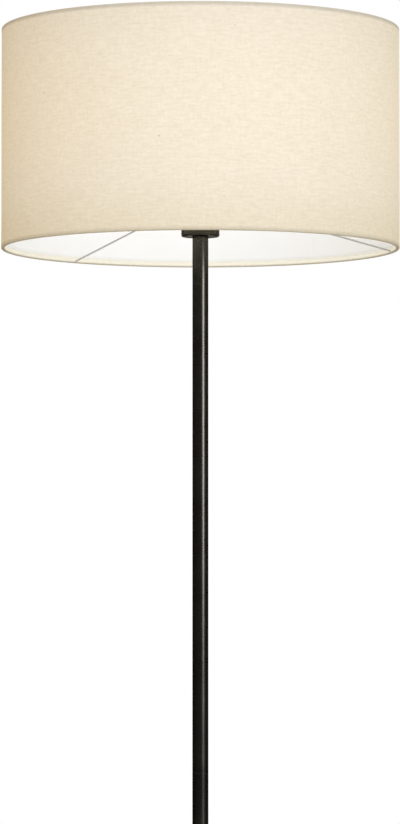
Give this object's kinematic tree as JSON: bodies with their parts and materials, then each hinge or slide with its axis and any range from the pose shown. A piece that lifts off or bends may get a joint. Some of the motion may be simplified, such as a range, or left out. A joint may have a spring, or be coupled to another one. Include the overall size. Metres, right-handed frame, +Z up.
{
  "type": "column floor lamp",
  "caption": "Floor lamp: round weighted base, slim column in two tubes, screw lamp holder in a small cup and a fabric drum shade on a raised wire spider.",
  "frame": {"origin": "on the floor, at the column's axis, under the middle of the base pad", "axes": "+Z up along the column, -Y towards the front, +Y towards the cord inlet at the back, +X to the right seen from the front"},
  "size_m": [0.5, 0.5, 1.63],
  "materials": {
    "bronze_lacquer": "near-black bronze lacquer, satin gloss",
    "cast_weight": "rough cast, primed",
    "foam_pad": "matt closed-cell foam",
    "fibre_plate": "matt",
    "zinc_steel": "zinc plated",
    "brass": "bare turned brass",
    "white_nylon": "moulded, matt",
    "black_bakelite": "moulded thermoset, soft gloss",
    "bush_plastic": "moulded, matt",
    "ceramic": "glazed steatite",
    "lead_sheath": "flexible, matt",
    "lead_brown": "flexible, matt",
    "lead_blue": "flexible, matt",
    "spider_wire": "drawn wire, zinc plated",
    "shade_liner": "white sheet, matt, lets light through",
    "shade_fabric": "cream slub weave, lets light through",
    "bulb_metal": "nickel plated",
    "vitrite": "black glass",
    "opal_glass": "opal, satin",
    "clear_glass": "clear",
    "phosphor": "phosphor coated sticks",
    "driver_board": "board with one capacitor"
  },
  "bodies": {
    "stand": {"base_pad": "foam_pad", "base_weight": "cast_weight", "base_cover": "bronze_lacquer", "recess_plate": "fibre_plate", "plate_screws": "zinc_steel", "inlet_bush": "bush_plastic", "connector_block": "white_nylon", "block_terminals": "brass", "block_screws": "brass", "base_washer": "zinc_steel", "base_lock_washer": "zinc_steel", "base_nut": "zinc_steel", "base_stud": "brass", "foot_insert": "zinc_steel", "lower_tube": "bronze_lacquer", "joint_insert_lower": "zinc_steel", "joint_stud": "brass", "joint_insert_upper": "zinc_steel", "upper_tube": "bronze_lacquer", "head_insert": "zinc_steel", "cup_nipple": "brass", "holder_cup": "bronze_lacquer", "cup_lock_washer": "zinc_steel", "cup_nut": "zinc_steel", "holder_dome": "black_bakelite", "dome_set_screw": "zinc_steel", "holder_core": "ceramic", "terminal_screws": "brass", "centre_contact": "brass", "thread_liner": "brass", "holder_skirt": "black_bakelite", "lower_shade_ring": "black_bakelite", "lead_sheath": "lead_sheath", "live_lead": "lead_brown", "neutral_lead": "lead_blue"},
    "shade_nut": {"upper_shade_ring": "black_bakelite"},
    "shade": {"spider_hub": "spider_wire", "spider_arms": "spider_wire", "top_ring": "spider_wire", "bottom_ring": "spider_wire", "shade_liner": "shade_liner", "shade_fabric": "shade_fabric"},
    "bulb_lift": {"bulb_contact": "bulb_metal"},
    "bulb": {"bulb_insulator": "vitrite", "bulb_cap": "bulb_metal", "bulb_glass": "opal_glass", "bulb_stem": "clear_glass", "led_filaments": "phosphor", "bulb_driver": "driver_board"}
  },
  "joints": [
    {"name": "shade_turn", "type": "hinge", "parent": "stand", "child": "shade", "pos_m": [0, 0, 1.418], "axis": [0, 0, 1], "continuous": true},
    {"name": "nut_rise", "type": "slide", "parent": "stand", "child": "shade_nut", "axis": [0, 0, 1], "range_m": [0, 0.0075]},
    {"name": "bulb_rise", "type": "slide", "parent": "stand", "child": "bulb_lift", "axis": [0, 0, 1], "range_m": [0, 0.01089]},
    {"name": "bulb_turn", "type": "hinge", "parent": "bulb_lift", "child": "bulb", "pos_m": [0, 0, 1.4], "axis": [0, 0, 1], "range_deg": [0, 1080]}
  ],
  "couplings": [
    {"joint": "bulb_rise", "follows": "bulb_turn", "m_per_rad": 0.00057757}
  ]
}
